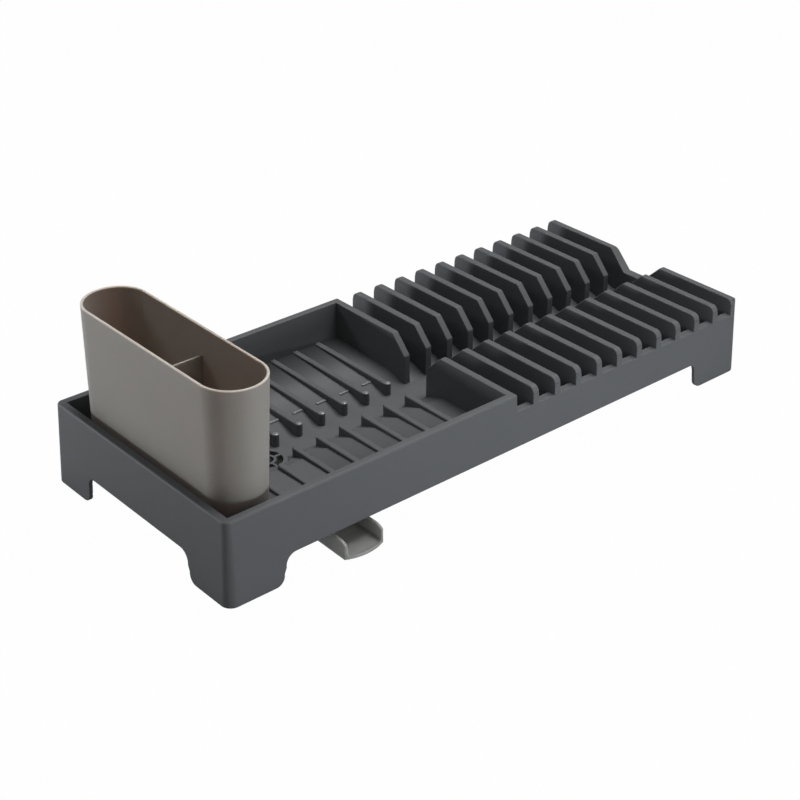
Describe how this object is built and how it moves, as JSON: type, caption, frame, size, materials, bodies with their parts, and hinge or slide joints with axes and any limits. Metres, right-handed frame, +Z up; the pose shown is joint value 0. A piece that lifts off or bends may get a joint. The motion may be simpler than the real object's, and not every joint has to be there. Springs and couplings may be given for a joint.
{
  "type": "dish drainer",
  "caption": "Long ribbed dish drainer tray on corner feet, with plate slots, a low drying area, a lift-out cutlery cup and a swivelling drain spout.",
  "frame": {"origin": "on the table, in the middle of the whole footprint, spout included", "axes": "+X along the tray towards the plate rack's end, +Y towards the back, +Z up"},
  "size_m": [0.4758, 0.2108, 0.1374],
  "materials": {
    "tray_plastic": "fine satin, anthracite grey",
    "cup_plastic": "fine satin, warm taupe grey",
    "spout_plastic": "satin, mid grey"
  },
  "bodies": {
    "tray": {"tray": "tray_plastic"},
    "cup": {"cutlery_cup": "cup_plastic"},
    "spout": {"drain_spout": "spout_plastic", "drain_grate": "tray_plastic"}
  },
  "joints": [
    {"name": "cup_lift", "type": "slide", "parent": "tray", "child": "cup", "axis": [0, 0, 1], "range_m": [0, 0.045]},
    {"name": "spout_swivel", "type": "hinge", "parent": "tray", "child": "spout", "pos_m": [-0.1378, -0.0006, 0.02], "axis": [0, 0, 1], "range_deg": [-18, 198]}
  ]
}
